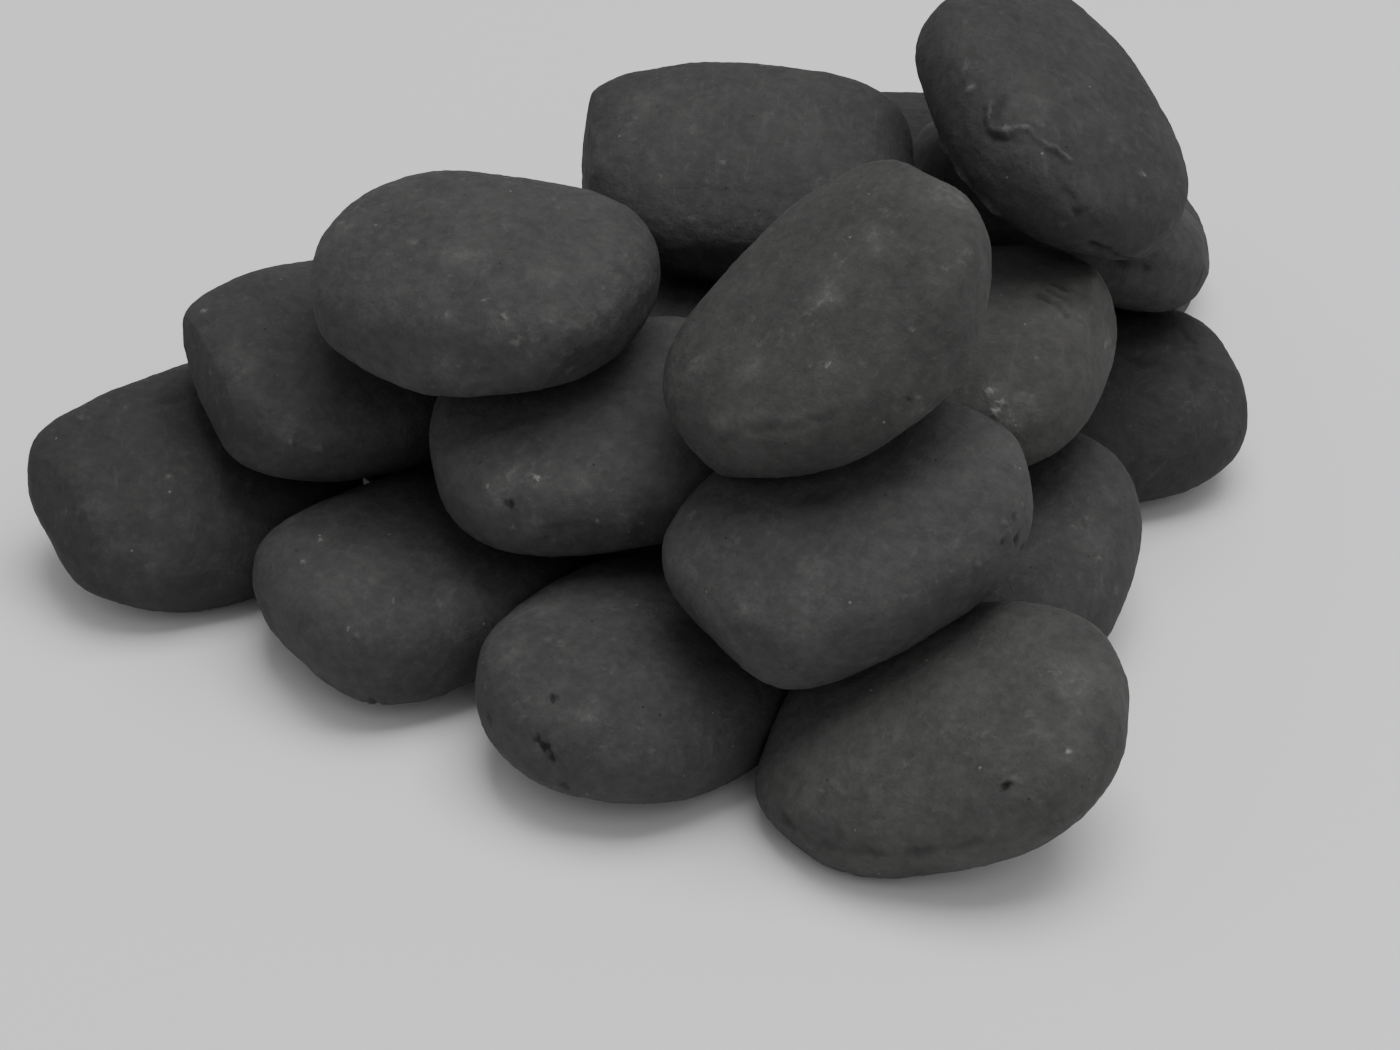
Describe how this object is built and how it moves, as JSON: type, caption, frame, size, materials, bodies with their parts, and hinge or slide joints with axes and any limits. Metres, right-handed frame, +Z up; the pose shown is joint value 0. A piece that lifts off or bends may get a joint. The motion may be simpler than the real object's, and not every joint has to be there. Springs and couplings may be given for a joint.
{
  "type": "massage stone heap",
  "caption": "Heap of loose pillow-shaped dark massage stones, laid in a ground course, ledges over it and leaning stones on top; each lifts off along its own slide.",
  "frame": {"origin": "centre of the bounding box in plan, on the ground the heap lies on", "axes": "+Z up, +X to the right along the heap's front, +Y to the back of the heap"},
  "size_m": [0.2768, 0.28, 0.1133],
  "materials": {
    "basalt": "dry matt dark grey, fine grain, with light specks and soft dusty smudges"
  },
  "bodies": {
    "bed": {"middle_bed_stone": "basalt", "rear_bed_stone": "basalt", "inner_stone": "basalt"},
    "left_front": {"left_front_stone": "basalt"},
    "middle_front": {"middle_front_stone": "basalt"},
    "right_front": {"right_front_stone": "basalt"},
    "left_end": {"left_end_stone": "basalt"},
    "right_side": {"right_side_stone": "basalt"},
    "right_end": {"right_end_stone": "basalt"},
    "left_bed": {"left_bed_stone": "basalt"},
    "far_bed": {"far_bed_stone": "basalt"},
    "centre_ledge": {"centre_ledge_stone": "basalt"},
    "left_shoulder": {"left_shoulder_stone": "basalt"},
    "left_top": {"left_top_stone": "basalt"},
    "right_ledge": {"right_ledge_stone": "basalt"},
    "leaning": {"leaning_stone": "basalt"},
    "right_shoulder": {"right_shoulder_stone": "basalt"},
    "far_shoulder": {"far_shoulder_stone": "basalt"},
    "steep_top": {"steep_top_stone": "basalt"},
    "rear_ledge": {"rear_ledge_stone": "basalt"},
    "back_top": {"back_top_stone": "basalt"}
  },
  "joints": [
    {"name": "left_front_draw", "type": "slide", "parent": "bed", "child": "left_front", "axis": [-0.65, -0.76, 0], "range_m": [0, 0.08]},
    {"name": "middle_front_draw", "type": "slide", "parent": "bed", "child": "middle_front", "axis": [-0.4711, -0.8821, 0], "range_m": [0, 0.08]},
    {"name": "right_front_draw", "type": "slide", "parent": "bed", "child": "right_front", "axis": [0.7779, -0.6283, 0], "range_m": [0, 0.08]},
    {"name": "left_end_draw", "type": "slide", "parent": "bed", "child": "left_end", "axis": [-0.973, 0.2307, 0], "range_m": [0, 0.08]},
    {"name": "right_side_draw", "type": "slide", "parent": "bed", "child": "right_side", "axis": [0.9326, -0.361, 0], "range_m": [0, 0.08]},
    {"name": "right_end_draw", "type": "slide", "parent": "bed", "child": "right_end", "axis": [0.9292, -0.3697, 0], "range_m": [0, 0.08]},
    {"name": "left_bed_draw", "type": "slide", "parent": "bed", "child": "left_bed", "axis": [-0.361, 0.9326, 0], "range_m": [0, 0.08]},
    {"name": "far_bed_draw", "type": "slide", "parent": "bed", "child": "far_bed", "axis": [0.9982, -0.0599, 0], "range_m": [0, 0.08]},
    {"name": "centre_ledge_lift", "type": "slide", "parent": "bed", "child": "centre_ledge", "axis": [0, -0.5524, 0.8336], "range_m": [0, 0.08]},
    {"name": "left_shoulder_lift", "type": "slide", "parent": "centre_ledge", "child": "left_shoulder", "axis": [-0.7283, 0.1896, 0.6585], "range_m": [0, 0.08]},
    {"name": "left_top_lift", "type": "slide", "parent": "left_shoulder", "child": "left_top", "axis": [-0.7432, -0.0904, 0.6629], "range_m": [0, 0.08]},
    {"name": "right_ledge_lift", "type": "slide", "parent": "centre_ledge", "child": "right_ledge", "axis": [0.3008, -0.5313, 0.792], "range_m": [0, 0.08]},
    {"name": "leaning_lift", "type": "slide", "parent": "right_ledge", "child": "leaning", "axis": [0.4313, -0.4313, 0.7924], "range_m": [0, 0.08]},
    {"name": "right_shoulder_lift", "type": "slide", "parent": "bed", "child": "right_shoulder", "axis": [0.9287, 0.03, 0.3695], "range_m": [0, 0.08]},
    {"name": "far_shoulder_lift", "type": "slide", "parent": "right_shoulder", "child": "far_shoulder", "axis": [0.7119, 0.1203, 0.6919], "range_m": [0, 0.08]},
    {"name": "steep_top_lift", "type": "slide", "parent": "far_shoulder", "child": "steep_top", "axis": [0.4982, -0.0199, 0.8668], "range_m": [0, 0.08]},
    {"name": "rear_ledge_lift", "type": "slide", "parent": "bed", "child": "rear_ledge", "axis": [-0.3301, 0.8502, 0.4101], "range_m": [0, 0.08]},
    {"name": "back_top_lift", "type": "slide", "parent": "bed", "child": "back_top", "axis": [-0.6007, 0.7409, 0.3004], "range_m": [0, 0.08]}
  ]
}
